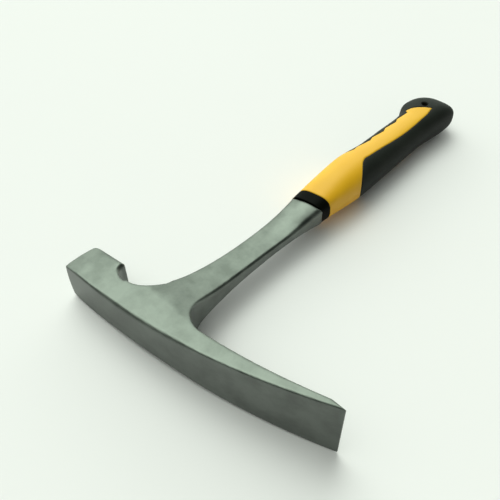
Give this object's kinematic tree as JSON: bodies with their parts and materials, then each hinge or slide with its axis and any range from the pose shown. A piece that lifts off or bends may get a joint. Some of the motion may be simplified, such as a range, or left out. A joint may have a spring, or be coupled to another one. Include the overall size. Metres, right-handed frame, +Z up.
{
  "type": "rock hammer",
  "caption": "One-piece steel rock hammer with a square poll, a long flat chisel blade and a moulded two-colour grip with a lanyard hole.",
  "frame": {"origin": "under the middle of the hammer's box, level with its lowest point, as it lies on its side", "axes": "+X from the head to the butt along the shank, +Y towards the striking face, +Z up across the hammer's thickness"},
  "size_m": [0.2919, 0.175, 0.0434],
  "materials": {
    "steel": "satin, lightly blasted forging",
    "collar": "smooth satin",
    "shell": "smooth, half gloss",
    "soft": "fine matt grain"
  },
  "bodies": {
    "root": {"forging": "steel", "front_collar": "collar", "grip_shell": "shell", "soft_grip": "soft"}
  },
  "joints": []
}
